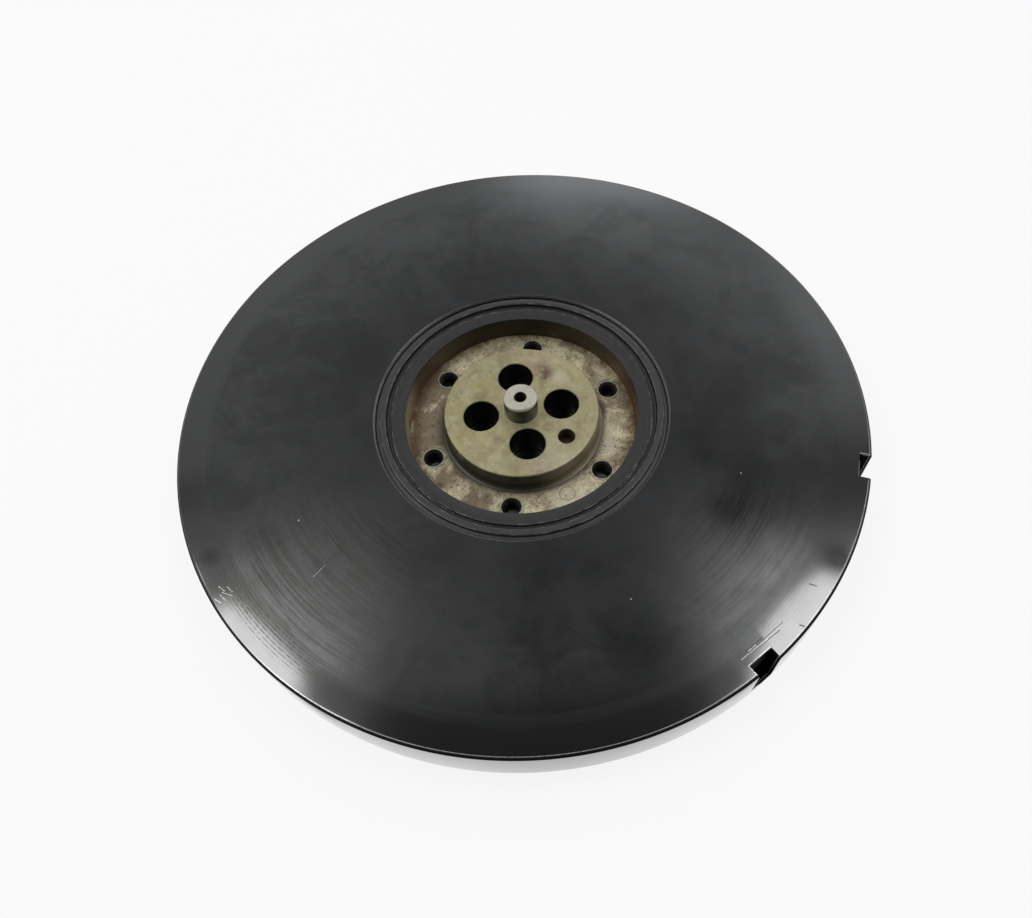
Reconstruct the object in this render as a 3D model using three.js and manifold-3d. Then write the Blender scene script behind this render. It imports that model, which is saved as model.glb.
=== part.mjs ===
// Wheel head of a pottery wheel with the slim ball bearing hub that carries it.
// It lies on its working face, as it is put down for service: z = 0 is the surface under it,
// +Z points out of the hub side, and the turning axis is x = y = 0. All sizes are in millimetres.
import * as THREE from "three";
import { mergeVertices } from "three/addons/utils/BufferGeometryUtils.js";
import Module from "manifold-3d";

const wasm = await Module();
wasm.setup();

// ---- Driving sizes -------------------------------------------------------------------------

// Wheel
const wheelRadius = 152.4;
const faceThickness = 3.6;
const rimChamfer = 1.0;
const faceChamfer = 0.5;
const boreChamfer = 0.9;
const notchWidth = 11.2;
const notchDepth = 5.2;
const notchFloor = 2.5;
const notchAngles = [-16, -54.9];

// Boss in the middle of the hub
const pegCircleRadius = 18.2;
const pegHoleRadius = 8.0;
const pegHoleCount = 4;
const pegHoleStart = 6.1;
const bossEdge = 8.5;
const bossHeight = 10.6;
const bossChamfer = 0.4;
const bossFilletRadius = 2.0;
const dowelFromPegCircle = 6.5;
const dowelRadius = 3.75;
const dowelSink = 5.8;
const dowelFloor = 1.1;

// Pilot pin
const pinRadius = 7.5;
const pinHeight = 9.8;
const pinChamfer = 0.7;
const pinShoulder = 1.5;
const pinThreadRadius = 2.5;
const pinThreadMouth = 2.85;
const pinThreadDepth = 14.0;

// Hub plate
const hubPlateThickness = 5.1;
const tappedHoleCount = 6;
const tappedHoleRadius = 3.5;
const tappedHoleChamfer = 1.15;
const tappedHoleFromBoss = 9.0;
const tappedHoleToWall = 8.7;

// Collar that clamps the bearing's inner ring
const collarWall = 4.7;
const collarTaper = 0.8;
const collarLipOverlap = 1.3;
const collarSinkOuter = 1.0;
const collarSinkInner = 1.7;

// Bearing
const ballRadius = 2.38;
const ballCount = 24;
const bearingSection = 8.0;
const trackHalfAngle = 66.2; // degrees, from the track's middle to a ring's shoulder
const bearingChamfer = 0.5;
const cageRail = 0.57;
const cageInset = 0.8;

// Retainer and seal above the bearing
const retainerHeight = 2.9;
const retainerBase = 1.4;
const retainerRibWidth = 3.0;
const retainerGroove = 1.6;
const sealThickness = 1.1;

// Screws that enter from the closed side of the hub
const bossScrewCount = 3;
const bossScrewRadius = 2.0;
const bossScrewHead = 3.8;
const bossScrewReach = 5.9;
const bossScrewInset = 5.7;
const bossScrewSocket = 2.5;
const collarScrewRadius = 1.5;
const collarScrewHead = 2.9;
const collarScrewReach = 4.4;
const collarScrewCount = 6;
const collarScrewSocket = 2.0;
const socketShare = 0.8;

// Clearances
const fit = 0.05;
const ringSeatStep = 1.6;
const seatSink = 0.5;
const underHubGap = 0.6;
const hubRunningGap = 0.8;
const ballTrackGap = 0.12;
const ballPocketGap = 0.25;
const cageGap = 0.45;
const sealGap = 0.2;
const through = 1.0;

// Roundness
const largeSides = 72;
const pinSides = 24;
const holeSides = 16;
const smallSides = 12;
const ballSides = 8;
const trackSteps = 4;

// ---- Sizes that follow ---------------------------------------------------------------------

// A track's section is a polygon, so its corners lie further out for its flats to clear the ball.
const cosDeg = (angle) => Math.cos(THREE.MathUtils.degToRad(angle));
const trackRadius = (ballRadius + ballTrackGap) / cosDeg(trackHalfAngle / trackSteps);
const ringGap = 2 * trackRadius * cosDeg(trackHalfAngle);
const pocketHoleRadius = ballRadius + ballPocketGap;
const cageThickness = ringGap - 2 * cageGap;
const cageWidth = 2 * (pocketHoleRadius + cageRail);
const bearingWidth = cageWidth + 2 * cageInset;

const hubBottom = faceThickness + underHubGap;
const hubFloor = hubBottom + hubPlateThickness;
const bossTop = hubFloor + bossHeight;
const pinTop = bossTop + pinHeight;
const bearingBottom = hubFloor + ringSeatStep;
const bearingTop = bearingBottom + bearingWidth;
const wheelThickness = bearingTop + retainerHeight;

const bossRadius = pegCircleRadius + pegHoleRadius + bossEdge;
const bossFootRadius = bossRadius + bossFilletRadius;
const pinSpigotRadius = pinRadius - pinShoulder;
const dowelCircleRadius = pegCircleRadius + dowelFromPegCircle;
const bossScrewCircleRadius = bossRadius - bossScrewInset;
const tappedCircleRadius = bossRadius + tappedHoleFromBoss;
const collarInnerRadius = tappedCircleRadius + tappedHoleToWall;
const collarFootRadius = collarInnerRadius - collarTaper;
const collarSeatRadius = collarInnerRadius + collarWall;
const bearingBore = collarSeatRadius + fit;
const bearingOuter = bearingBore + bearingSection;
const pitchRadius = bearingBore + bearingSection / 2;
const innerShoulder = pitchRadius - ringGap / 2;
const outerShoulder = pitchRadius + ringGap / 2;
const bearingMiddle = bearingBottom + bearingWidth / 2;
const seatRadius = bearingOuter + fit;
const hubRimRadius = innerShoulder - bearingChamfer;
const pocketRadius = hubRimRadius + hubRunningGap;
const collarLipRadius = collarSeatRadius + collarLipOverlap;
const retainerRibOuter = bearingOuter - retainerGroove;
const retainerRibInner = retainerRibOuter - retainerRibWidth;

const seatLevel = hubFloor - seatSink;
const pinSeatLevel = bossTop - seatSink;
const dowelBottom = hubBottom + dowelFloor;
const bossScrewLength = hubPlateThickness + bossScrewReach;
const collarScrewLength = hubPlateThickness + collarScrewReach;
const dowelAngle = pegHoleStart - 180 / pegHoleCount;
const tappedHoleStart = dowelAngle;
const pegHoleStep = 360 / pegHoleCount;
const bossScrewStart = dowelAngle + pegHoleStep;
const collarScrewCircleRadius = collarInnerRadius + collarWall / 2;
const collarScrewStart = tappedHoleStart + 180 / collarScrewCount;

// ---- Materials -----------------------------------------------------------------------------

const metal = (color, roughness, metalness) =>
  new THREE.MeshStandardMaterial({ color, roughness, metalness });

const blackAnodised = metal(0x1b1d20, 0.3, 0.4);
const darkCollar = metal(0x202225, 0.45, 0.4);
const bearingSteel = metal(0x8d8f90, 0.3, 0.9);
const groundSteel = metal(0x8c8a74, 0.35, 0.8);
const stainedPlate = metal(0x9a917a, 0.6, 0.6);
const pinSteel = metal(0xa3a59f, 0.35, 0.85);
const rubber = metal(0x121212, 0.8, 0.0);
const brass = metal(0xa98d4d, 0.45, 0.8);
const screwSteel = metal(0x2a2a2b, 0.5, 0.7);

// ---- Helpers -------------------------------------------------------------------------------

const part = new THREE.Group();

function add(name, geometry, material, parent = part) {
  const mesh = new THREE.Mesh(geometry, material);
  mesh.name = name;
  parent.add(mesh);
  return mesh;
}

// Turned solid: profile of [radius, height] points, anticlockwise with the axis on the left.
function turned(profile, sides) {
  const points = profile.map(([r, z]) => new THREE.Vector2(r, z));
  return new THREE.LatheGeometry(points, sides).rotateX(Math.PI / 2);
}

// Turned ring: the profile closes on itself.
const ring = (profile, sides) => turned([...profile, profile[0]], sides);

// Points on an arc of the profile plane, angles in degrees.
function arc(r, z, radius, from, to, steps) {
  const points = [];
  for (let i = 0; i <= steps; i += 1) {
    const a = THREE.MathUtils.degToRad(from + ((to - from) * i) / steps);
    points.push([r + radius * Math.cos(a), z + radius * Math.sin(a)]);
  }
  return points;
}

// Straight or stepped peg along Z, used both as a tool and as a piece.
const peg = (radius, bottom, top, sides) =>
  turned([[0, bottom], [radius, bottom], [radius, top], [0, top]], sides);

function solid(geometry) {
  const bare = geometry.clone();
  bare.deleteAttribute("normal");
  bare.deleteAttribute("uv");
  const merged = mergeVertices(bare, 1e-4);
  return new wasm.Manifold(
    new wasm.Mesh({
      numProp: 3,
      vertProperties: merged.attributes.position.array,
      triVerts: new Uint32Array(merged.index.array),
    }),
  );
}

function cut(geometry, tools) {
  let body = solid(geometry);
  for (const tool of tools) {
    body = body.subtract(solid(tool));
  }
  const mesh = body.getMesh();
  const result = new THREE.BufferGeometry();
  result.setAttribute("position", new THREE.BufferAttribute(mesh.vertProperties, 3));
  result.setIndex(new THREE.BufferAttribute(mesh.triVerts, 1));
  result.computeVertexNormals();
  return result;
}

// Moves a geometry out to a radius and round to an angle in degrees.
function placed(geometry, radius, angle) {
  return geometry.translate(radius, 0, 0).rotateZ(THREE.MathUtils.degToRad(angle));
}

function aroundCircle(count, start, radius, make, step = 360 / count) {
  const pieces = [];
  for (let i = 0; i < count; i += 1) {
    pieces.push(placed(make(), radius, start + step * i));
  }
  return pieces;
}

// ---- Wheel ---------------------------------------------------------------------------------

function notchTool(angle) {
  const reach = notchDepth + rimChamfer + through;
  const height = wheelThickness - notchFloor + through;
  const tool = new THREE.BoxGeometry(reach, notchWidth, height);
  tool.translate(reach / 2, 0, notchFloor + height / 2);
  return placed(tool, wheelRadius - notchDepth, angle);
}

function wheelDisc() {
  const body = turned(
    [
      [0, 0],
      [wheelRadius - faceChamfer, 0],
      [wheelRadius, faceChamfer],
      [wheelRadius, wheelThickness - rimChamfer],
      [wheelRadius - rimChamfer, wheelThickness],
      [seatRadius + boreChamfer, wheelThickness],
      [seatRadius, wheelThickness - boreChamfer],
      [seatRadius, bearingBottom],
      [pocketRadius, bearingBottom],
      [pocketRadius, faceThickness],
      [0, faceThickness],
    ],
    largeSides,
  );
  return cut(body, notchAngles.map(notchTool));
}

// ---- Bearing -------------------------------------------------------------------------------

const trackArc = (side, from, to) =>
  arc(pitchRadius, bearingMiddle, trackRadius, side + from, side + to, trackSteps);

function outerRing() {
  return ring(
    [
      [bearingOuter - bearingChamfer, bearingBottom],
      [bearingOuter, bearingBottom + bearingChamfer],
      [bearingOuter, bearingTop - bearingChamfer],
      [bearingOuter - bearingChamfer, bearingTop],
      [outerShoulder, bearingTop],
      ...trackArc(0, trackHalfAngle, -trackHalfAngle),
      [outerShoulder, bearingBottom],
    ],
    largeSides,
  );
}

function innerRing() {
  return ring(
    [
      [innerShoulder, bearingBottom],
      ...trackArc(180, trackHalfAngle, -trackHalfAngle),
      [innerShoulder, bearingTop],
      [bearingBore + bearingChamfer, bearingTop],
      [bearingBore, bearingTop - bearingChamfer],
      [bearingBore, bearingBottom + bearingChamfer],
      [bearingBore + bearingChamfer, bearingBottom],
    ],
    largeSides,
  );
}

function cage() {
  const inner = pitchRadius - cageThickness / 2;
  const outer = pitchRadius + cageThickness / 2;
  const low = bearingMiddle - cageWidth / 2;
  const high = bearingMiddle + cageWidth / 2;
  const band = ring([[outer, low], [outer, high], [inner, high], [inner, low]], largeSides);
  const pocket = () =>
    new THREE.CylinderGeometry(pocketHoleRadius, pocketHoleRadius, ringGap, ballSides)
      .rotateZ(Math.PI / 2)
      .translate(0, 0, bearingMiddle);
  return cut(band, aroundCircle(ballCount, 0, pitchRadius, pocket));
}

function addBalls(parent) {
  for (let i = 0; i < ballCount; i += 1) {
    const ball = new THREE.SphereGeometry(ballRadius, ballSides, ballSides - 2);
    const mesh = add(`bearing_ball_${String(i + 1).padStart(2, "0")}`, ball, bearingSteel, parent);
    const angle = (2 * Math.PI * i) / ballCount;
    mesh.position.set(pitchRadius * Math.cos(angle), pitchRadius * Math.sin(angle), bearingMiddle);
  }
}

// ---- Retainer and seal ---------------------------------------------------------------------

function retainer() {
  const baseTop = bearingTop + retainerBase;
  return ring(
    [
      [bearingOuter, bearingTop],
      [bearingOuter, baseTop],
      [retainerRibOuter, baseTop],
      [retainerRibOuter, wheelThickness],
      [retainerRibInner, wheelThickness],
      [retainerRibInner, bearingTop],
    ],
    largeSides,
  );
}

function seal() {
  const inner = collarLipRadius + sealGap;
  const outer = retainerRibInner - fit;
  const low = bearingTop + sealGap;
  const high = low + sealThickness;
  return ring([[outer, low], [outer, high], [inner, high], [inner, low]], largeSides);
}

// ---- Hub -----------------------------------------------------------------------------------

function tappedHole() {
  const mouth = tappedHoleRadius + tappedHoleChamfer;
  return turned(
    [
      [0, hubBottom - through],
      [tappedHoleRadius, hubBottom - through],
      [tappedHoleRadius, hubFloor - tappedHoleChamfer],
      [mouth + through, hubFloor + through],
      [0, hubFloor + through],
    ],
    holeSides,
  );
}

// Countersunk screw that points up, with its head's flat face at the given height.
function screwProfile(radius, head, bottom, length) {
  return [
    [0, bottom],
    [head, bottom],
    [radius, bottom + head - radius],
    [radius, bottom + length],
    [0, bottom + length],
  ];
}

function screwHole(radius, head, length) {
  const slope = head - radius;
  return () =>
    turned(
      [
        [0, hubBottom - through],
        [head + fit + through, hubBottom - through],
        [radius + fit, hubBottom + slope],
        [radius + fit, hubBottom + length + fit],
        [0, hubBottom + length + fit],
      ],
      smallSides,
    );
}

// One boss screw between each pair of peg holes, except where the dowel is.
const bossScrewHoles = () =>
  aroundCircle(
    bossScrewCount,
    bossScrewStart,
    bossScrewCircleRadius,
    screwHole(bossScrewRadius, bossScrewHead, bossScrewLength),
    pegHoleStep,
  );

const collarScrewHoles = () =>
  aroundCircle(
    collarScrewCount,
    collarScrewStart,
    collarScrewCircleRadius,
    screwHole(collarScrewRadius, collarScrewHead, collarScrewLength),
  );

const pegHoles = () =>
  aroundCircle(pegHoleCount, pegHoleStart, pegCircleRadius, () =>
    peg(pegHoleRadius, hubBottom - through, bossTop + through, holeSides),
  );

function hubPlate() {
  const plate = turned(
    [
      [0, hubBottom],
      [hubRimRadius, hubBottom],
      [hubRimRadius, bearingBottom],
      [bearingBore, bearingBottom],
      [bearingBore, seatLevel],
      [collarFootRadius - fit, seatLevel],
      [collarFootRadius - fit, hubFloor],
      [bossFootRadius + fit, hubFloor],
      [bossFootRadius + fit, seatLevel],
      [0, seatLevel],
    ],
    largeSides,
  );
  const dowelHole = placed(
    peg(dowelRadius + fit, dowelBottom, hubFloor + through, holeSides),
    dowelCircleRadius,
    dowelAngle,
  );
  return cut(plate, [
    ...pegHoles(),
    ...aroundCircle(tappedHoleCount, tappedHoleStart, tappedCircleRadius, tappedHole),
    ...bossScrewHoles(),
    ...collarScrewHoles(),
    dowelHole,
    peg(pinSpigotRadius + fit, hubBottom - through, hubFloor + through, pinSides),
  ]);
}

function collar() {
  const ringBand = ring(
    [
      [collarSeatRadius, seatLevel],
      [collarSeatRadius, bearingTop],
      [collarLipRadius, bearingTop],
      [collarLipRadius, wheelThickness - collarSinkOuter],
      [collarInnerRadius, wheelThickness - collarSinkInner],
      [collarFootRadius, hubFloor],
      [collarFootRadius, seatLevel],
    ],
    largeSides,
  );
  return cut(ringBand, collarScrewHoles());
}

function boss() {
  const body = turned(
    [
      [0, seatLevel],
      [bossFootRadius, seatLevel],
      ...arc(bossFootRadius, hubFloor + bossFilletRadius + fit, bossFilletRadius, 270, 180, 3),
      [bossRadius, bossTop - bossChamfer],
      [bossRadius - bossChamfer, bossTop],
      [0, bossTop],
    ],
    largeSides,
  );
  const dowelHole = placed(
    peg(dowelRadius + fit, hubFloor - through, bossTop + through, holeSides),
    dowelCircleRadius,
    dowelAngle,
  );
  return cut(body, [
    ...pegHoles(),
    ...bossScrewHoles(),
    dowelHole,
    peg(pinSpigotRadius + fit, hubFloor - through, bossTop + through, pinSides),
    peg(pinRadius + fit, pinSeatLevel, bossTop + through, pinSides),
  ]);
}

function dowel() {
  return placed(
    peg(dowelRadius, dowelBottom, bossTop - dowelSink, holeSides),
    dowelCircleRadius,
    dowelAngle,
  );
}

function pilotPin() {
  const mouth = pinThreadMouth - pinThreadRadius;
  return turned(
    [
      [0, hubBottom],
      [pinSpigotRadius, hubBottom],
      [pinSpigotRadius, pinSeatLevel],
      [pinRadius, pinSeatLevel],
      [pinRadius, pinTop - pinChamfer],
      [pinRadius - pinChamfer, pinTop],
      [pinThreadMouth, pinTop],
      [pinThreadRadius, pinTop - mouth],
      [pinThreadRadius, pinTop - pinThreadDepth],
      [0, pinTop - pinThreadDepth],
    ],
    pinSides,
  );
}

// Countersunk screw with a hexagon socket in its head.
function countersunkScrew(radius, head, length, socket) {
  const body = turned(screwProfile(radius, head, hubBottom, length), smallSides);
  const depth = (head - radius) * socketShare;
  return cut(body, [peg(socket / Math.sqrt(3), hubBottom - through, hubBottom + depth, 6)]);
}

function addScrews(name, screws, parent) {
  screws.forEach((geometry, i) => add(`${name}_${i + 1}`, geometry, screwSteel, parent));
}

// ---- Assembly ------------------------------------------------------------------------------

const wheelGroup = new THREE.Group();
const rollingGroup = new THREE.Group();
const hubGroup = new THREE.Group();
part.add(wheelGroup, rollingGroup, hubGroup);

add("wheel_disc", wheelDisc(), blackAnodised, wheelGroup);
add("bearing_outer_ring", outerRing(), bearingSteel, wheelGroup);
add("bearing_retainer", retainer(), darkCollar, wheelGroup);
add("bearing_seal", seal(), rubber, wheelGroup);

add("bearing_cage", cage(), brass, rollingGroup);
addBalls(rollingGroup);

add("bearing_inner_ring", innerRing(), bearingSteel, hubGroup);
add("hub_plate", hubPlate(), stainedPlate, hubGroup);
add("hub_collar", collar(), darkCollar, hubGroup);
add("hub_boss", boss(), groundSteel, hubGroup);
add("boss_dowel", dowel(), pinSteel, hubGroup);
add("pilot_pin", pilotPin(), pinSteel, hubGroup);
addScrews(
  "boss_screw",
  aroundCircle(
    bossScrewCount,
    bossScrewStart,
    bossScrewCircleRadius,
    () => countersunkScrew(bossScrewRadius, bossScrewHead, bossScrewLength, bossScrewSocket),
    pegHoleStep,
  ),
  hubGroup,
);
addScrews(
  "collar_screw",
  aroundCircle(
    collarScrewCount,
    collarScrewStart,
    collarScrewCircleRadius,
    () => countersunkScrew(collarScrewRadius, collarScrewHead, collarScrewLength, collarScrewSocket),
  ),
  hubGroup,
);

export default part;
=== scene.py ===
"""Wheel head of a pottery wheel, lying on its working face with its hub side up.

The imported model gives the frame. Each piece below is the finished look of one of its nodes.
Profiles and places are in millimetres and degrees. Meshes and shader values are in metres.
"""

import math
from collections import namedtuple

import bpy
from bpy.props import FloatProperty, FloatVectorProperty, IntProperty, PointerProperty
from mathutils import Matrix, Vector


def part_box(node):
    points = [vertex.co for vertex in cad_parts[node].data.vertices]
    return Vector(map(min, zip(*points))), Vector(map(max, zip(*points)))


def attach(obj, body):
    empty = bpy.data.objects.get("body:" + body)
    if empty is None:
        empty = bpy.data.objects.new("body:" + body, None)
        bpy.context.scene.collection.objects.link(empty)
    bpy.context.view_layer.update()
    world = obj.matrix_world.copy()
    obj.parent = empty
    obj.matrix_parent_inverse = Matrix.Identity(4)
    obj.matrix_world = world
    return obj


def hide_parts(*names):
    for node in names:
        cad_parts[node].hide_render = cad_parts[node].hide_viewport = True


bl_info = {
    "name": "Pottery Wheel Head",
    "version": (1, 0, 0),
    "blender": (4, 5, 0),
    "location": "View3D > Sidebar > Wheel Head",
    "description": "Builds a wheel head with its hub, bearing and finishes",
    "category": "Add Mesh",
}

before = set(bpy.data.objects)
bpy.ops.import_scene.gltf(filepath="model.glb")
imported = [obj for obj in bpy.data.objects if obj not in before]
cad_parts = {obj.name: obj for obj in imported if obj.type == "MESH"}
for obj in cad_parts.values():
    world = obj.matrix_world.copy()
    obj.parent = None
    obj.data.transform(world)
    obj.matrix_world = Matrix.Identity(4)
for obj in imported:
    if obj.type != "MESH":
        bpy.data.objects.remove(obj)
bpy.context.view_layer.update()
disc_low, disc_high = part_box("wheel_disc")

MM = 0.001


# ---- Sizes and colours ----


def length(name, description, default, least=0.0):
    """A size that a user may change, with its default and least value in millimetres."""
    return FloatProperty(
        name=name, description=description, default=default * MM, min=least * MM, unit="LENGTH"
    )


def colour(name, description, default):
    return FloatVectorProperty(
        name=name, description=description, default=default, min=0.0, max=1.0, subtype="COLOR"
    )


class WheelHeadSizes(bpy.types.PropertyGroup):
    """Sizes of the wheel, its notches and its edges"""

    radius: length(
        "Wheel Radius", "Outer radius of the wheel", (disc_high.x - disc_low.x) / 2 / MM, least=10.0
    )
    thickness: length(
        "Wheel Thickness", "Height of the back face above the working face", disc_high.z / MM, least=1.0
    )
    rim_bevel: length("Rim Bevel", "Bevel between the back face and the rim", 1.0)
    notch_width: length("Notch Width", "Width of each rim notch", 11.2)
    notch_depth: length("Notch Depth", "Depth of each rim notch, measured inwards from the rim", 5.2)
    notch_floor: length("Notch Floor", "Thickness of metal left under each rim notch", 2.5)
    groove_depth: length("Centring Groove Depth", "Depth of the working face's centring grooves", 0.4)
    sides: IntProperty(
        name="Sides", description="Number of flats round each large piece", default=360, min=24
    )


class WheelHeadHubSizes(bpy.types.PropertyGroup):
    """Sizes of the hub's holes, threads and edges"""

    peg_hole_radius: length("Peg Hole Radius", "Radius of the four large holes", 8.0, least=1.0)
    peg_circle_radius: length("Peg Circle Radius", "From the axis to each large hole", 18.2, least=1.0)
    tapped_hole_radius: length("Tapped Hole Radius", "Radius of the six tapped holes", 3.5, least=0.5)
    tapped_circle_radius: length(
        "Tapped Circle Radius", "From the axis to each tapped hole", 43.7, least=1.0
    )
    thread_pitch: length("Thread Pitch", "Rise of one turn of the plate's threads", 1.25, least=0.2)
    edge_round: length("Edge Rounding", "Rounding of the hub's machined edges", 0.25)


class WheelHeadColours(bpy.types.PropertyGroup):
    """Base colours of the finishes"""

    wheel: colour("Wheel", "Black of the wheel", (0.0036, 0.0042, 0.0052))
    collar: colour("Collar", "Black of the collar and the retainer", (0.025, 0.025, 0.0235))
    boss: colour("Boss", "Turned steel of the boss", (0.41, 0.365, 0.205))
    plate: colour("Hub Plate", "Steel of the hub plate's floor", (0.68, 0.6, 0.4))
    rust: colour("Rust", "Rust and dried oil on the hub", (0.145, 0.072, 0.034))
    pin: colour("Pin", "Ground steel of the pilot pin", (0.63, 0.59, 0.5))
    floor: colour("Floor", "Floor under the wheel head", (0.86, 0.86, 0.86))


# ---- Angles and places that the pieces share ----

FIT = 0.05
OVERRUN = 1.0
SMALL_SIDES = 48

NOTCH_ANGLES = (-16.0, -54.9)
GROOVE_RADII = (38.1, 63.5, 88.9, 114.3, 139.7)
WELL_RADIUS = 60.4
WELL_FLOOR = 3.6
# The back face rolls over towards the rim's bevel.
ROLL_RADIUS = 3.2
EDGE_ROLL = 0.7
ROLL_START = 90.0
ROLL_END = 77.4

PEG_START = 6.1
DOWEL_ANGLE = -38.9
DOWEL_CIRCLE = 24.7
DOWEL_RADIUS = 3.75
DOWEL_BOTTOM = 5.3
DOWEL_TOP = 14.1
PIN_RADIUS = 7.5
PIN_NECK = 6.0
PIN_TOP = 29.7
PIN_BORE = 2.5
PIN_DEPTH = 14.0
BOSS_RADIUS = 34.7
FOOT_FILLET = 2.0
BOSS_FOOT = BOSS_RADIUS + FOOT_FILLET
BOSS_TOP = 19.9
PIN_SHOULDER = BOSS_TOP - 0.5
HUB_BOTTOM = 4.2
SEAT_LEVEL = 8.8
HUB_FLOOR = 9.3
PLATE_RADIUS = 59.6
COLLAR_BORE = 51.6
TAPPED_MOUTH = 1.15
THREAD_SHARP = 50.0

BEARING_BOTTOM = 10.9
BEARING_TOP = 18.9
BEARING_MIDDLE = (BEARING_BOTTOM + BEARING_TOP) / 2
RING_OUTSIDE = 65.15
RING_INSIDE = 57.15
PITCH_RADIUS = 61.15
BALL_COUNT = 24
BALL_RADIUS = 2.38
POCKET_RADIUS = 2.63

ScrewKind = namedtuple("ScrewKind", "name count step start circle thread head length socket")
BOSS_SCREWS = ScrewKind("boss_screw", 3, 90, DOWEL_ANGLE + 90, 29.0, 2.0, 3.8, 11.0, 2.5)
COLLAR_SCREWS = ScrewKind("collar_screw", 6, 60, DOWEL_ANGLE + 30, 54.75, 1.5, 2.9, 9.5, 2.0)


# ---- Mesh helpers ----


def rounded(corners, closed=False, steps=4):
    """Profile points with each (radius, height, fillet) corner rounded."""
    points = []
    count = len(corners)
    for i, (radius, height, *fillet) in enumerate(corners):
        here = Vector((radius, height))
        at_end = not closed and i in (0, count - 1)
        if not fillet or fillet[0] <= 0 or at_end:
            points.append(here)
            continue
        back = (Vector(corners[i - 1][:2]) - here).normalized()
        ahead = (Vector(corners[(i + 1) % count][:2]) - here).normalized()
        half = back.angle(ahead) / 2
        reach = fillet[0] / math.tan(half)
        centre = here + (back + ahead).normalized() * (fillet[0] / math.sin(half))
        start = here + back * reach - centre
        end = here + ahead * reach - centre
        sweep = math.pi - 2 * half
        for k in range(steps + 1):
            t = k / steps
            swung = start * math.sin((1 - t) * sweep) + end * math.sin(t * sweep)
            points.append(centre + swung / math.sin(sweep))
    return [(p.x, p.y) for p in points]


def arc(radius, height, size, start, end, steps):
    """Points of an arc in the profile plane."""
    angles = [math.radians(start + (end - start) * k / steps) for k in range(steps + 1)]
    return [(radius + size * math.cos(a), height + size * math.sin(a)) for a in angles]


def wheel_sizes():
    return bpy.context.scene.wheel_head_sizes


def hub_sizes():
    return bpy.context.scene.wheel_head_hub_sizes


def mesh_of(name, vertices, faces):
    mesh = bpy.data.meshes.new(name)
    mesh.from_pydata(vertices, [], faces)
    return mesh


def skinned(name, rings, closed=False):
    """Mesh that joins each ring of points to the next. A ring on the axis is one point."""
    sides = max(len(ring) for ring in rings)
    vertices, rows = [], []
    for ring in rings:
        rows.append([len(vertices) + k % len(ring) for k in range(sides)])
        vertices += ring
    faces = []
    for low, high in zip(rows, rows[1:] + rows[:closed]):
        for k in range(sides):
            n = (k + 1) % sides
            corners = list(dict.fromkeys((low[k], low[n], high[n], high[k])))
            if len(corners) > 2:
                faces.append(corners)
    mesh = mesh_of(name, vertices, faces)
    mesh.validate()
    return mesh


def ring_of(radii, height):
    """Points in metres, at these radii and at even angles round the axis."""
    if max(radii) < 1e-6:
        return [(0.0, 0.0, height * MM)]
    ring = []
    for k, radius in enumerate(radii):
        a = 2 * math.pi * k / len(radii)
        ring.append((radius * math.cos(a) * MM, radius * math.sin(a) * MM, height * MM))
    return ring


def turned_mesh(name, profile, sides, closed=False):
    """Mesh turned from profile points, anticlockwise with the axis on the left."""
    return skinned(name, [ring_of([radius] * sides, height) for radius, height in profile], closed)


def place(mesh, radius=0.0, angle=0.0):
    """Moves a mesh out from the axis and round it."""
    out = Matrix.Translation((radius * MM, 0.0, 0.0))
    mesh.transform(Matrix.Rotation(math.radians(angle), 4, "Z") @ out)
    return mesh


def spread(mesh, count, step, start, circle):
    """Copies of a mesh, set on a circle."""
    copies = [place(mesh.copy(), circle, start + step * k) for k in range(count)]
    bpy.data.meshes.remove(mesh)
    return copies


def object_of(mesh):
    piece = bpy.data.objects.new(mesh.name, mesh)
    bpy.context.scene.collection.objects.link(piece)
    return piece


def turned(name, profile, closed=False):
    """A large turned piece, as fine as the sizes ask."""
    return object_of(turned_mesh(name, profile, wheel_sizes().sides, closed))


def carve(piece, cutters):
    """Cuts these meshes out of a piece."""
    vertices, faces = [], []
    for mesh in cutters:
        start = len(vertices)
        vertices += [v.co.copy() for v in mesh.vertices]
        faces += [[start + i for i in p.vertices] for p in mesh.polygons]
        bpy.data.meshes.remove(mesh)
    tool = object_of(mesh_of("cutter", vertices, faces))
    modifier = piece.modifiers.new("holes", "BOOLEAN")
    modifier.operation = "DIFFERENCE"
    modifier.solver = "EXACT"
    modifier.object = tool
    depsgraph = bpy.context.evaluated_depsgraph_get()
    carved = bpy.data.meshes.new_from_object(piece.evaluated_get(depsgraph))
    piece.modifiers.clear()
    piece.data = carved
    # The cutter's object goes with its mesh.
    bpy.data.meshes.remove(tool.data)


def hole(radius, bottom, top, bevel=0.0, sides=SMALL_SIDES):
    """Cutter for a round hole with a bevelled mouth at the top."""
    above = top + OVERRUN
    mouth = [(radius, top - bevel), (radius + bevel + OVERRUN, above)]
    return turned_mesh("hole", [(0, bottom), (radius, bottom), *mouth, (0, above)], sides)


def peg_cutters(bottom, top, bevel=0.0):
    """Cutters for the four large holes."""
    hub = hub_sizes()
    cutter = hole(hub.peg_hole_radius / MM, bottom, top, bevel, 96)
    return spread(cutter, 4, 90, PEG_START, hub.peg_circle_radius / MM)


def dowel_cutter(bottom, top, bevel=0.0):
    return place(hole(DOWEL_RADIUS + FIT, bottom, top, bevel), DOWEL_CIRCLE, DOWEL_ANGLE)


def screw_cutters(kind):
    """Cutters for countersunk screw holes that open downwards."""
    thread, mouth = kind.thread + FIT, kind.head + FIT + OVERRUN
    below, end = HUB_BOTTOM - OVERRUN, HUB_BOTTOM + kind.length + FIT
    neck = HUB_BOTTOM + kind.head - kind.thread
    profile = [(0, below), (mouth, below), (thread, neck), (thread, end), (0, end)]
    cutter = turned_mesh("screw_hole", profile, 32)
    return spread(cutter, kind.count, kind.step, kind.start, kind.circle)


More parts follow.
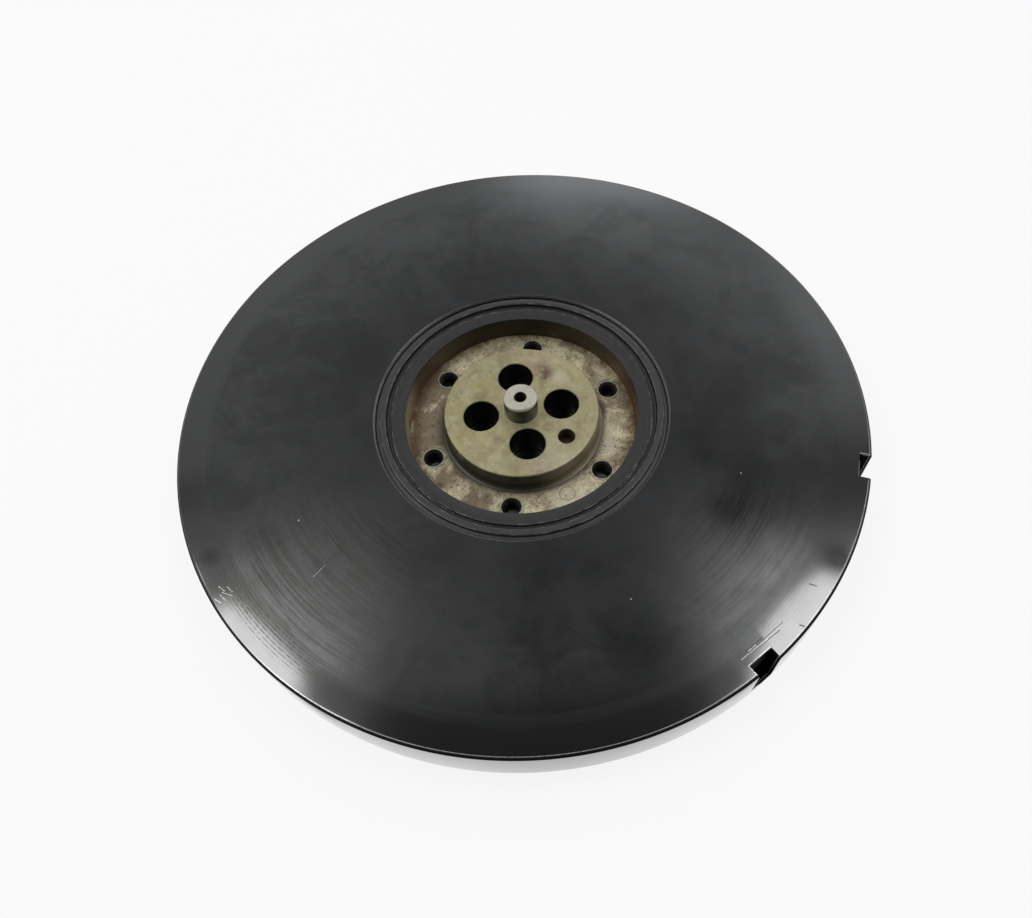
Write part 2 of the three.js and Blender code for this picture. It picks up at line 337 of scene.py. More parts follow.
def thread_mesh(name, core, depth, bottom, top, pitch):
    """Tube whose inside carries a screw thread, with crests at the core radius."""
    sides, rows_per_turn = SMALL_SIDES, 8
    rows = int(round((top - bottom) / pitch * rows_per_turn))
    rings = [ring_of([core + depth + FIT] * sides, height) for height in (bottom, top)]
    for i in range(rows, -1, -1):
        height = bottom + (top - bottom) * i / rows
        fade = min(1.0, (top - height) / pitch, (height - bottom) / pitch + 0.2)
        radii = []
        for k in range(sides):
            phase = (height / pitch - k / sides) % 1.0
            crest = max(0.0, 1 - abs(phase - 0.5) * 2.6) * max(0.0, fade)
            radii.append(core + depth * (1 - crest))
        rings.append(ring_of(radii, height))
    return skinned(name, rings, closed=True)


def notch_cutter(sizes):
    """Cutter for a rim notch, with a small bevel along its top edge."""
    bevel = 0.25
    top = sizes.thickness / MM
    outer = sizes.radius / MM + 2.0
    levels = ((sizes.notch_floor / MM, 0.0), (top - bevel, 0.0), (top + OVERRUN, bevel + OVERRUN))
    vertices = []
    for height, grow in levels:
        half = sizes.notch_width / MM / 2 + grow
        inner = (sizes.radius - sizes.notch_depth) / MM - grow
        for x, y in ((inner, -half), (outer, -half), (outer, half), (inner, half)):
            vertices.append((x * MM, y * MM, height * MM))
    faces = [(3, 2, 1, 0), (8, 9, 10, 11)]
    for level in (0, 4):
        for k in range(4):
            n = (k + 1) % 4
            faces.append((level + k, level + n, level + n + 4, level + k + 4))
    return mesh_of("notch", vertices, faces)


# ---- Finishes ----


def arithmetic(operation):
    """A Python operator and its reflected form, each of which adds one Math node."""
    return (
        lambda self, other: self.shading.maths(operation, self, other),
        lambda self, other: self.shading.maths(operation, other, self),
    )


class Value:
    """A shader socket that takes part in Python arithmetic."""

    def __init__(self, shading, socket):
        self.shading = shading
        self.socket = socket

    __add__, __radd__ = arithmetic("ADD")
    __sub__, __rsub__ = arithmetic("SUBTRACT")
    __mul__, __rmul__ = arithmetic("MULTIPLY")
    __truediv__, __rtruediv__ = arithmetic("DIVIDE")
    __pow__, __rpow__ = arithmetic("POWER")


class Shading:
    """A node tree, the place or direction that it starts from, and the calls that fill it."""

    def __init__(self, owner, coordinates):
        owner.use_nodes = True
        self.tree = owner.node_tree
        self.tree.nodes.clear()
        self.position = self.node("ShaderNodeTexCoord", output=coordinates)
        parts = self.node("ShaderNodeSeparateXYZ", values={0: self.position})
        self.x, self.y, self.z = (Value(self, s) for s in parts.socket.node.outputs)

    def node(self, kind, settings=None, values=None, output=0):
        """Adds a node, sets it up, fills its sockets, and gives one output back."""
        node = self.tree.nodes.new(kind)
        for key, value in (settings or {}).items():
            setattr(node, key, value)
        for key, value in (values or {}).items():
            socket = self.find(node.inputs, key)
            if isinstance(value, Value):
                self.tree.links.new(value.socket, socket)
            elif socket.type == "RGBA":
                socket.default_value = (*value[:3], 1.0)
            else:
                socket.default_value = value
        return Value(self, self.find(node.outputs, output)) if node.outputs else None

    @staticmethod
    def find(sockets, key):
        if isinstance(key, int):
            return sockets[key]
        for socket in sockets:
            if key in (socket.identifier, socket.name):
                return socket
        raise KeyError(key)

    def maths(self, operation, *operands):
        return self.node("ShaderNodeMath", {"operation": operation}, dict(enumerate(operands)))

    def vector_maths(self, operation, values, output="Vector"):
        return self.node("ShaderNodeVectorMath", {"operation": operation}, values, output)

    def step(self, value, low, high):
        """0 below low, 1 above high, and smooth between."""
        values = {"Value": value, "From Min": low, "From Max": high}
        return self.node("ShaderNodeMapRange", {"interpolation_type": "SMOOTHSTEP"}, values)

    def band(self, value, low, high, soft):
        """1 between low and high, with soft edges."""
        rise = self.step(value, low - soft, low + soft)
        return rise * (1 - self.step(value, high - soft, high + soft))

    def mix(self, mask, first, second):
        """The second colour where the mask is 1."""
        values = {"Factor_Float": mask, "A_Color": first, "B_Color": second}
        return self.node("ShaderNodeMix", {"data_type": "RGBA"}, values, "Result_Color")


class Finish(Shading):
    """A material of the wheel head, with masks in millimetres. r is the distance from the axis."""

    def __init__(self, name):
        self.material = bpy.data.materials.new(name)
        super().__init__(self.material, "Object")
        self.r = (self.x * self.x + self.y * self.y) ** 0.5

    def noise(self, scale, detail, roughness, distortion=0.0, vector=None):
        values = {"Vector": vector or self.position, "Scale": scale, "Detail": detail}
        values.update({"Roughness": roughness, "Distortion": distortion})
        return self.node("ShaderNodeTexNoise", values=values)

    def turning(self, per_metre, per_turn, detail=5.0, roughness=0.6):
        """Noise that runs fast outwards and slowly round the axis, for turning marks."""
        out = self.r * per_metre + self.z * per_metre
        across = self.x / self.r * per_turn
        along = self.y / self.r * per_turn
        vector = self.node("ShaderNodeCombineXYZ", values={0: out, 1: across, 2: along})
        return self.noise(1.0, detail, roughness, vector=vector)

    def over(self, value, low, high):
        """0 below low, 1 above high."""
        return self.step(value, low * MM, high * MM)

    def under(self, value, low, high):
        """1 below low, 0 above high."""
        return 1 - self.over(value, low, high)

    def between(self, value, low, high, soft):
        """1 between low and high, with soft edges."""
        return self.band(value, low * MM, high * MM, soft * MM)

    def away_from(self, x, y, z):
        """Distance in metres to a point."""
        values = {0: self.position, 1: (x * MM, y * MM, z * MM)}
        return self.vector_maths("DISTANCE", values, "Value")

    def from_axes(self, count, circle, start):
        """Distance in metres to the nearest of some axes set evenly on a circle."""
        turn = 2 * math.pi / count
        angle = self.maths("ARCTAN2", self.y, self.x) - math.radians(start)
        angle = self.maths("WRAP", angle, turn / 2, -turn / 2)
        square = self.r * self.r + circle * circle
        return (square - self.r * self.maths("COSINE", angle) * (2 * circle)) ** 0.5

    def spot(self, x, y, radius, soft, z):
        """1 inside a round patch."""
        return self.under(self.away_from(x, y, z), radius - soft, radius + soft)

    def spots(self, places, level, softness):
        """Round patches, each given by its place, size and strength."""
        return self.together(
            self.spot(x, y, size, softness * size, level) * strength
            for x, y, size, strength in places
        )

    def scratch(self, x, y, end_x, end_y, width, z):
        """1 on a thin straight stroke."""
        start = Vector((x, y, z)) * MM
        run = Vector((end_x, end_y, z)) * MM - start
        share = tuple(run / run.length_squared)
        offset = self.vector_maths("SUBTRACT", {0: self.position, 1: tuple(start)})
        along = self.vector_maths("DOT_PRODUCT", {0: offset, 1: share}, "Value")
        along = self.node("ShaderNodeClamp", values={"Value": along})
        nearest = self.vector_maths("SCALE", {0: tuple(run), "Scale": along})
        away = self.vector_maths("DISTANCE", {0: offset, 1: nearest}, "Value")
        return self.under(away, 0.25 * width, width)

    def together(self, masks):
        """The sum of several masks."""
        first, *rest = masks
        return sum(rest, first)

    def layers(self, base, *coats):
        """Lays each (mask, colour) over the ones before."""
        for mask, colour in coats:
            base = self.mix(mask, base, colour)
        return base

    def bump(self, height, distance, strength):
        values = {"Height": height, "Distance": distance * MM, "Strength": strength}
        return self.node("ShaderNodeBump", values=values)

    def surface(self, base, **sockets):
        """Ends the material in a Principled shader."""
        values = {key.replace("_", " "): value for key, value in sockets.items()}
        shader = self.node("ShaderNodeBsdfPrincipled", values={"Base Color": base, **values})
        self.node("ShaderNodeOutputMaterial", values={"Surface": shader})
        return self.material


def colours():
    return bpy.context.scene.wheel_head_colours


# Marks on the wheel's back face: the two ends of each scratch and its width.
DARK_SCRATCHES = (
    (-33.9, -93.7, -46.3, -116.8, 0.22), (-51.6, -103.5, -58.6, -110.2, 0.28),
    (-78.8, -66.4, -82.5, -71.1, 0.35), (13.1, -103.8, 19.6, -109.5, 0.22),
    (19.6, -109.5, 27.2, -113.9, 0.2), (109.0, -92.6, 111.4, -93.6, 0.45),
    (101.8, -109.0, 103.4, -109.7, 0.5), (79.2, -118.1, 86.5, -113.1, 0.35),
    (81.8, -118.3, 93.9, -110.5, 0.28), (84.1, -115.7, 95.6, -107.4, 0.22),
)
BRIGHT_SCRATCHES = (
    (77.4, -121.0, 88.5, -113.6, 0.22), (80.6, -117.8, 84.0, -115.4, 0.25),
    (-82.5, -71.1, -86.8, -75.9, 0.16), (-124.6, -77.6, -122.2, -79.6, 0.28),
    (-125.6, -82.8, -122.9, -84.6, 0.3), (-122.9, -80.2, -118.6, -81.9, 0.2),
    (-123.8, -81.0, -120.9, -83.8, 0.22), (-121.2, -77.9, -118.8, -80.2, 0.16),
    (79.8, -123.4, 88.9, -117.0, 0.42), (79.7, -123.6, 82.6, -127.6, 0.42),
    (143.2, -34.9, 147.8, -36.2, 0.42), (139.0, -60.4, 140.6, -58.2, 0.45),
)
SPECKS = ((91.2, -40.9, 0.3), (38.9, -94.1, 0.28), (-95.1, -49.9, 0.38))
SMUDGES = (
    (81.7, -57.6, 6.0, 0.55), (74.6, -24.0, 7.0, 0.3), (78.5, -32.5, 5.0, 0.35),
    (107.8, -62.4, 9.0, 0.35), (39.5, -112.8, 13.0, 0.6), (88.0, -60.3, 11.0, 0.75),
    (94.0, -44.0, 9.0, 0.35), (-130.0, -64.6, 3.5, 0.6), (121.3, -81.1, 6.0, 0.6),
    (-143.0, -34.5, 9.0, 0.4), (-128.2, -80.1, 8.0, 0.85), (-80.0, -126.0, 9.5, 0.85),
    (124.0, -85.0, 7.0, 0.6), (75.0, -128.0, 6.0, 0.7),
)
# Patches rubbed bright by hand.
RUBBED = ((-90.0, -84.0, 40.0), (98.0, -88.0, 40.0))
# A darker patch of dried oil at the front: place, size and softness.
FRONT_FILM = (12.0, -112.0, 34.0, 30.0)
# The brightest part of the right-hand patch.
GLOW = (97.0, -95.0, 22.0, 14.0)


def wheel_finish():
    """Black, turned and polished, with wiped patches, tool tracks and a few scratches."""
    f = Finish("black_turned_finish")
    top = wheel_sizes().thickness / MM
    rings = f.turning(900, 1.3, 6.0, 0.62)
    tracks = f.turning(760, 2.4, 3.0, 0.55)
    streaks = f.turning(1050, 3.2)
    dashes = f.turning(900, 120.0, 2.0, 0.5)
    grain = f.noise(1300.0, 3.0, 0.6)
    clouds = f.noise(17.0, 5.0, 0.6, 0.8)
    wipes = f.noise(46.0, 5.0, 0.68, 1.6)
    top_side = f.over(f.z, 20.5, 20.8)
    lip = top_side * f.over(f.r, 151.4, 151.6)
    notch = f.between(f.r, 120.0, 152.1, 0.1) * f.over(f.z, 0.5, 1.0) * f.under(f.z, 20.9, 21.3)
    dark = f.together(f.scratch(*stroke, top) for stroke in DARK_SCRATCHES)
    bright = f.together(f.scratch(*stroke, top) for stroke in BRIGHT_SCRATCHES)
    specks = f.together(f.spot(x, y, r, 0.2, top) for x, y, r in SPECKS)
    rubbed = f.together(f.spot(x, y, r, 0.6 * r, top) for x, y, r in RUBBED)
    smudges = f.spots(SMUDGES, top, 0.9)
    right = f.over(f.x, 0, 20)
    # A painted highlight along the edge of the rim, on its front side only.
    painted_front_highlight = f.between(f.r, 151.1, 151.4, 0.08) * f.under(f.y - f.x * 0.35, -100, -60)
    inner_edge = f.between(f.r, 65.3, 66.3, 0.15) * top_side
    # Pale grey marks: worn scratches, specks and inner edge, and the painted highlight on the rim's front
    # edge.
    worn = (bright + specks) * f.step(grain, 0.34, 0.56)
    worn = worn + (painted_front_highlight * 0.8 + inner_edge * 0.16) * f.step(grain, 0.2, 0.5)
    # Polished near the rim, where the last passes of the tool left their tracks.
    wander = (tracks + wipes - 1.0) * 0.014
    polish = f.step(f.r + wander, 0.135 - right * 0.009, 0.141 + right * 0.002)
    outer = f.over(f.r, 70, 135)
    ringed = (streaks - 0.5) * rubbed * (1 - right * 0.45)
    hazy = (outer * 0.36 + f.spot(*GLOW, top) * 0.5 + 0.2) * (1 + ringed)
    # Fine dotted rings, mostly on the left.
    turns = f.r * (2 * math.pi / (1.3 * MM))
    lines = f.step(f.maths("SINE", turns) + (tracks - 0.5) * 3.0, 0.25, 0.8)
    lines = lines * f.between(f.r, 134.0, 146.5, 2.0) * f.step(dashes, 0.36, 0.56)
    lines = lines * rubbed * (1 - f.over(f.x, -5, 5) * 0.85)
    dull = f.step(clouds * 0.6 + wipes * 0.4, 0.42, 0.64)
    coat = hazy + polish * (0.95 - hazy)
    coat = coat * (1 - dull * (1 - polish) * 0.5) * (1 - dull * 0.12)
    coat = coat * (1 - smudges) * (1 - lines * 0.7) * (1 - dark * 0.8)
    # A film of dried oil dulls the black under the polish, and less where it is rubbed.
    film = 0.38 - outer * 0.12 - rubbed * 0.26 + f.spot(*FRONT_FILM, top) * 0.3
    film = film + rubbed * f.step(streaks, 0.42, 0.6) * (0.45 - right * 0.15)
    film = film + (clouds - 0.5) * 0.5 + (wipes - 0.5) * 0.25 + smudges * 0.3
    film = film + polish * (0.68 - film)
    dust = f.step(wipes * clouds, 0.24, 0.42)
    # A duller ring at the front, inside the polished rim.
    dull_ring = f.between(f.r, 136.5, 141.0, 0.8) * f.under(f.y, -112, -85)
    roughness = 0.165 + (clouds - 0.5) * 0.1 + ringed * 0.16 + rubbed * 0.045
    height = rings * 0.8 + tracks * 0.9 * top_side - dark * 2.0 - bright * 0.8
    base = f.layers(
        colours().wheel,
        (dust * 0.4, (0.01, 0.0105, 0.011)),
        (rubbed * 0.5 * f.under(f.x, 0, 10), (0.018, 0.016, 0.009)),
        (dull_ring * f.step(streaks, 0.25, 0.5) * 0.8, (0.017, 0.018, 0.018)),
        # Wear and the painted highlight on the rim's front edge, in pale grey.
        (worn, (0.5, 0.5, 0.48)),
    )
    return f.surface(
        base,
        Roughness=roughness + notch * 0.5 + lip * 0.3,
        Metallic=film * top_side * (1 - worn) + notch,
        IOR=1.74, Anisotropic=0.8, Anisotropic_Rotation=0.25,
        Coat_Weight=coat * (1 - notch) * (1 - lip), Coat_IOR=1.87, Coat_Roughness=0.085,
        Normal=f.bump(height, 0.004, 0.5),
    )


# Worn edges of the collar and the ridge: radii and strength.
WORN_EDGES = ((57.9, 58.3, 0.6), (60.6, 60.95, 0.9), (63.15, 63.5, 0.7))


def collar_finish():
    """Black oxide with worn edges and a bore that has gone brown, with painted shade on the bore's far
    side.
    """
    f = Finish("collar_finish")
    marks = f.turning(1300, 2.0)
    scuffs = f.turning(700, 14.0, 5.0, 0.7)
    blotches = f.noise(120.0, 5.0, 0.65, 0.6)
    bore = f.under(f.r, 52.0, 52.7) * f.under(f.z, 19.2, 19.9)
    edges = f.together(f.between(f.r, a, b, 0.08) * weight for a, b, weight in WORN_EDGES)
    ridge = f.over(f.r, 60.2, 60.6)
    mottled = (blotches - 0.5) * 0.16 + (scuffs - 0.5) * 0.3
    # Painted shade on the far side of the bore wall, which faces away from the lamps.
    far = f.over(f.y, 15, 45) * (0.75 - f.step(blotches, 0.45, 0.65) * 0.35)
    brown = f.layers(
        colours().rust,
        (f.step(blotches, 0.35, 0.7), (0.03, 0.026, 0.014)),
        (f.under(f.z, 11.0, 17.0) * f.step(blotches, 0.4, 0.75) * 0.8, (0.2, 0.13, 0.06)),
        # Painted shade on the bore's far side.
        (far, (0.018, 0.018, 0.011)),
        (f.under(f.x, -51, -12), (0.13, 0.092, 0.052)),
        (f.under(f.x, -51.6, -47) * f.step(blotches, 0.28, 0.52) * 0.85, (0.42, 0.34, 0.225)),
        (f.spot(-51.6, 1.0, 1.2, 0.9, 14.0), (0.5, 0.33, 0.13)),
    )
    base = f.layers(
        colours().collar,
        (ridge * 0.14 + mottled + 0.02, (0.13, 0.13, 0.125)),
        (edges * f.step(scuffs, 0.46, 0.66) + f.step(scuffs, 0.62, 0.76) * 0.18, (0.22, 0.22, 0.21)),
        (bore, brown),
    )
    return f.surface(
        base,
        Roughness=0.33 + bore * 0.2 + (marks - 0.5) * 0.25 + (scuffs - 0.5) * 0.3,
        Metallic=bore * 0.2, IOR=1.45,
        Normal=f.bump(marks + blotches * 0.6, 0.012, 0.6),
    )


# Stains on the hub plate's floor, those on the left and front left being painted shade: place, size and
# strength.
PLATE_STAINS_AND_SHADE = (
    (-22.0, -39.5, 6.0, 0.85), (-39.5, -27.5, 7.0, 0.6), (-44.0, 4.0, 13.0, 0.55),
    (-37.0, 23.0, 10.0, 0.6), (34.0, 29.0, 9.0, 0.35), (43.0, 10.0, 8.0, 0.45),
)
# Painted highlights right of the boss and at the front right: place, size and strength.
PLATE_HIGHLIGHTS = ((37.8, -9.0, 5.0, 0.8), (36.0, -16.0, 4.0, 0.6), (20.0, -41.0, 9.0, 0.6))
PLATE_STAMP = (17.9, -38.2, 3.4)


def plate_finish():
    """Pale steel with pits, rust stains, dried oil and black tapped holes, and painted shade and
    highlights.
    """
    f = Finish("stained_steel_finish")
    hub = hub_sizes()
    stains = f.noise(62.0, 6.0, 0.66, 1.1)
    grain = f.noise(900.0, 4.0, 0.7)
    patches = f.noise(190.0, 6.0, 0.72, 0.5)
    cells = {"Vector": f.position, "Scale": 560.0}
    pits = f.node("ShaderNodeTexVoronoi", values=cells, output="Distance")
    pit = (1 - f.step(pits, 0.1, 0.36)) * f.step(patches, 0.44, 0.6)
    tapped = f.from_axes(6, hub.tapped_circle_radius, DOWEL_ANGLE)
    mouth = f.under(tapped, 4.3, 4.48)
    lip = f.between(tapped, 4.62, 4.9, 0.1) * f.step(patches, 0.38, 0.52)
    grime = f.between(tapped, 3.0, 5.6, 0.7) * f.step(patches, 0.36, 0.6)
    pegs = f.under(f.from_axes(4, hub.peg_circle_radius, PEG_START), 8.6, 8.9)
    x, y, size = PLATE_STAMP
    stamp = f.between(f.away_from(x, y, HUB_FLOOR), size - 0.3, size + 0.3, 0.15)
    # Painted highlights.
    bright_patches = f.spots(PLATE_HIGHLIGHTS, HUB_FLOOR, 0.8)
    # Rust, darker where the left-hand patches paint shade, and none where highlights are painted.
    rust = f.step(stains + f.spots(PLATE_STAINS_AND_SHADE, HUB_FLOOR, 0.8) * 0.3 - bright_patches * 0.3, 0.48, 0.68)
    outer = f.over(f.r, 46.0, 51.5) * f.step(patches + stains, 0.75, 1.15)
    base = f.layers(
        colours().plate,
        (f.step(patches, 0.4, 0.64) * 0.75, (0.26, 0.225, 0.13)),
        (f.step(grain, 0.5, 0.64) * 0.55, (0.12, 0.098, 0.056)),
        (1 - f.step(grain, 0.32, 0.44), (0.76, 0.7, 0.53)),
        (rust * 0.8, (0.135, 0.092, 0.053)),
        # Painted highlights in pale steel.
        (bright_patches * 0.7, (0.7, 0.65, 0.5)),
        (outer * 0.7, colours().rust),
        # A dark ring round the boss's foot: painted shade and dirt.
        (f.under(f.r, 35.6, 39.5) * 0.85, (0.045, 0.032, 0.018)),
        (grime * 0.7, (0.06, 0.05, 0.028)),
        (lip * 0.75, (0.66, 0.64, 0.56)),
        (stamp * 0.5, (0.1, 0.075, 0.045)),
        (pit * 0.9, (0.035, 0.025, 0.016)),
        (mouth, (0.01, 0.0095, 0.008)),
        (pegs, (0.006, 0.006, 0.005)),
    )
    return f.surface(
        base,
        Roughness=0.4 + rust * 0.2 + (grain - 0.5) * 0.3,
        Metallic=(0.45 - rust * 0.25 - pit * 0.2) * (1 - mouth) * (1 - pegs),
        Normal=f.bump(grain * 0.4 + patches - pit * 1.6 - stamp * 1.2, 0.1, 0.6),
    )


# Stains and brighter patches on the boss's face: place, size, softness and strength.
BOSS_STAINS = (
    (10.8, 20.2, 4.2, 3.4, 1.0), (13.6, 17.4, 2.0, 1.8, 1.0), (-18.0, 8.5, 2.6, 2.2, 0.6),
    (11.5, -10.0, 2.2, 2.0, 0.6), (-11.5, -15.0, 2.2, 2.0, 0.5),
)
BOSS_BRIGHT_PATCHES = (
    (17.6, 16.6, 3.4, 3.0, 1.0), (14.0, -26.0, 9.0, 8.0, 0.5), (-33.5, 10.4, 0.9, 0.5, 1.0),
)


def boss_finish():
    """Turned steel with an olive patina and smears, painted shade on its wall, and dark holes."""
    f = Finish("turned_steel_finish")
    hub = hub_sizes()
    marks = f.turning(1500, 1.6)
    wiping = f.turning(260, 5.0, 6.0, 0.65)
    clouds = f.noise(75.0, 6.0, 0.64, 1.0)
    flecks = f.noise(420.0, 5.0, 0.7)
    tints = f.noise(42.0, 4.0, 0.6, 0.8)
    stain, bright_patches = (
        f.together(f.spot(*patch, BOSS_TOP) * strength for *patch, strength in places)
        for places in (BOSS_STAINS, BOSS_BRIGHT_PATCHES)
    )
    pegs = f.under(f.from_axes(4, hub.peg_circle_radius, PEG_START), 8.05, 8.2)
    a = math.radians(DOWEL_ANGLE)
    dowel = f.away_from(DOWEL_CIRCLE * math.cos(a), DOWEL_CIRCLE * math.sin(a), 16.0)
    below = f.under(f.z, 19.3, 19.6)
    # Painted shade on the boss's wall, lighter on the right side, where the light falls.
    wall = f.over(f.r, 34.6, 34.68) * (0.95 - f.over(f.x, 2, 21) * 0.58)
    base = f.layers(
        colours().boss,
        (f.step(tints, 0.5, 0.7) * 0.8, (0.43, 0.325, 0.235)),
        ((1 - f.step(tints, 0.3, 0.46)) * 0.8, (0.43, 0.4, 0.16)),
        (f.step(clouds, 0.42, 0.66) * 0.6, (0.25, 0.21, 0.115)),
        (f.step(wiping, 0.48, 0.64) * 0.65, (0.5, 0.455, 0.3)),
        (f.step(flecks, 0.54, 0.7) * 0.45, (0.16, 0.13, 0.07)),
        (stain * f.step(wiping, 0.36, 0.56), (0.15, 0.095, 0.065)),
        (bright_patches * 0.6, (0.6, 0.55, 0.44)),
        (f.between(f.r, 7.7, 8.5, 0.3) * 0.35, (0.55, 0.5, 0.42)),
        # Painted shade on the wall.
        (below * wall, (0.022, 0.02, 0.013)),
        (below * pegs, (0.006, 0.006, 0.005)),
        (below * f.under(dowel, 5.3, 5.5) * 0.9, (0.035, 0.024, 0.014)),
    )
    return f.surface(
        base,
        Roughness=0.4 + (marks - 0.5) * 0.25 + (clouds - 0.5) * 0.2,
        Metallic=0.55 * (1 - below), Anisotropic=0.35, Anisotropic_Rotation=0.25,
        Normal=f.bump(marks + flecks * 0.4, 0.014, 0.5),
    )


def pin_finish():
    """Ground steel, bright on the end, with a darker mottled side and a dark hole."""
    f = Finish("pin_finish")
    marks = f.turning(1700, 2.4)
    stains = f.noise(260.0, 5.0, 0.65)
    wall = f.under(f.z, 28.6, 29.0)
    bore = f.under(f.r, 2.75, 2.95)
    side_tone = f.mix(f.step(stains, 0.45, 0.7), (0.05, 0.052, 0.04), (0.14, 0.12, 0.085))
    base = f.layers(
        colours().pin,
        (f.step(stains, 0.5, 0.75) * 0.5, (0.27, 0.25, 0.2)),
        (wall * 0.9, side_tone),
        (bore, (0.02, 0.015, 0.009)),
        (f.under(f.z, 15.0, 16.0), (0.07, 0.045, 0.03)),
    )
    return f.surface(
        base,
        Roughness=0.33 + (marks - 0.5) * 0.25 + wall * 0.1,
        Metallic=0.6 * (1 - bore),
        Normal=f.bump(marks + stains * 0.3, 0.012, 0.5),
    )


def bearing_finish():
    """Ground bearing steel with a thin film of old grease."""
    f = Finish("bearing_steel_finish")
    marks = f.turning(1900, 1.0, 4.0)
    film = f.noise(150.0, 4.0, 0.6)
    return f.surface(
        f.mix(f.step(film, 0.45, 0.7) * 0.4, (0.56, 0.56, 0.57), (0.4, 0.37, 0.31)),
        Roughness=0.14 + (marks - 0.5) * 0.1 + film * 0.08,
        Metallic=1.0, Normal=f.bump(marks, 0.004, 0.4),
    )


def cage_finish():
    """Turned brass with tarnish."""
    f = Finish("cage_finish")
    marks = f.turning(1200, 2.0, 4.0)
    tarnish = f.noise(110.0, 5.0, 0.6)
    return f.surface(
        f.mix(f.step(tarnish, 0.4, 0.7) * 0.6, (0.6, 0.42, 0.17), (0.3, 0.19, 0.08)),
        Roughness=0.3 + (marks - 0.5) * 0.2 + tarnish * 0.1,
        Metallic=1.0, Normal=f.bump(marks, 0.01, 0.5),
    )


def seal_finish():
    """Black rubber with dust."""
    f = Finish("seal_finish")
    grain = f.noise(1400.0, 3.0, 0.6)
    dust = f.noise(90.0, 5.0, 0.65)
    return f.surface(
        f.mix(f.step(dust, 0.5, 0.75) * 0.5, (0.011, 0.011, 0.011), (0.05, 0.047, 0.042)),
        Roughness=0.55 + (grain - 0.5) * 0.3,
        Normal=f.bump(grain, 0.03, 0.4),
    )


def screw_finish():
    """Black oxide on screws, a little worn."""
    f = Finish("screw_finish")
    grain = f.noise(700.0, 4.0, 0.65)
    return f.surface(
        f.mix(grain, (0.014, 0.014, 0.015), (0.05, 0.048, 0.046)),
        Roughness=0.36 + (grain - 0.5) * 0.3,
        Metallic=0.7, Normal=f.bump(grain, 0.012, 0.4),
    )


FINISHES = {
    "black_wheel": wheel_finish,
    "black_collar": collar_finish,
    "stained_plate": plate_finish,
    "ground_boss": boss_finish,
    "pin_steel": pin_finish,
    "bearing_steel": bearing_finish,
    "cage_brass": cage_finish,
    "seal_rubber": seal_finish,
    "screw_steel": screw_finish,
}
made_finishes = {}


def fit_out(piece, slot, body, *nodes, sharp_angle=32.0):
    """Gives a piece its shading, finish and place in the frame."""
    if not piece.data.polygons:
        raise RuntimeError(f"{piece.name} has no faces")
    if slot not in made_finishes:
        made_finishes[slot] = FINISHES[slot]()
    piece.data.shade_smooth()
    piece.data.set_sharp_from_angle(angle=math.radians(sharp_angle))
    piece.data.materials.clear()
    piece.data.materials.append(made_finishes[slot])
    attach(piece, body)
    if nodes:
        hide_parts(*nodes)


# ---- Pieces ----


class WHEELHEAD_OT_wheel(bpy.types.Operator):
    """Build the wheel with its rim notches, recess and centring grooves"""

    bl_idname = "wheelhead.wheel"
    bl_label = "Wheel"

    def execute(self, context):
        sizes = wheel_sizes()
        rim, top = sizes.radius / MM, sizes.thickness / MM
        bevel, depth = sizes.rim_bevel / MM, sizes.groove_depth / MM
        bore, chamfer = RING_OUTSIDE + FIT, 0.9
        profile = [(0, 0)]
        for radius in GROOVE_RADII:
            profile += [(radius - 0.6, 0), (radius - 0.2, depth)]
            profile += [(radius + 0.2, depth), (radius + 0.6, 0)]
        profile += rounded([
            (profile[-1][0], 0), (rim - 0.5, 0, 0.4), (rim, 0.5, 0.4), (rim, top - bevel - FIT, 0.12),
            *arc(rim - bevel - EDGE_ROLL, top - ROLL_RADIUS, ROLL_RADIUS, ROLL_END, ROLL_START, 6),
            (bore + chamfer, top, 0.3), (bore, top - chamfer, 0.2), (bore, BEARING_BOTTOM),
            (WELL_RADIUS, BEARING_BOTTOM), (WELL_RADIUS, WELL_FLOOR), (0, WELL_FLOOR),
        ])[1:]
        piece = turned("wheel", profile)
        carve(piece, [place(notch_cutter(sizes), angle=angle) for angle in NOTCH_ANGLES])
        fit_out(piece, "black_wheel", "wheel", "wheel_disc")
        return {"FINISHED"}


class WHEELHEAD_OT_retainer(bpy.types.Operator):
    """Build the ridge that holds the bearing in the wheel, and the seal inside it"""

    bl_idname = "wheelhead.retainer"
    bl_label = "Retainer and Seal"

    def execute(self, context):
        top = wheel_sizes().thickness / MM
        ridge = [
            (RING_OUTSIDE, BEARING_TOP), (RING_OUTSIDE, 20.3, 0.2), (63.55, 20.3, 0.3),
            (63.55, top, 0.55), (60.55, top, 0.55), (60.55, BEARING_TOP),
        ]
        piece = turned("retainer", rounded(ridge, closed=True), closed=True)
        fit_out(piece, "black_collar", "wheel", "bearing_retainer")
        lip = [
            (60.5, 19.1, 0.2), (60.5, 20.2, 0.3), (59.6, 20.2, 0.2), (59.1, 19.8, 0.2),
            (58.6, 19.9, 0.1), (58.6, 19.1, 0.2),
        ]
        piece = turned("seal", rounded(lip, closed=True), closed=True)
        fit_out(piece, "seal_rubber", "wheel", "bearing_seal")
        return {"FINISHED"}


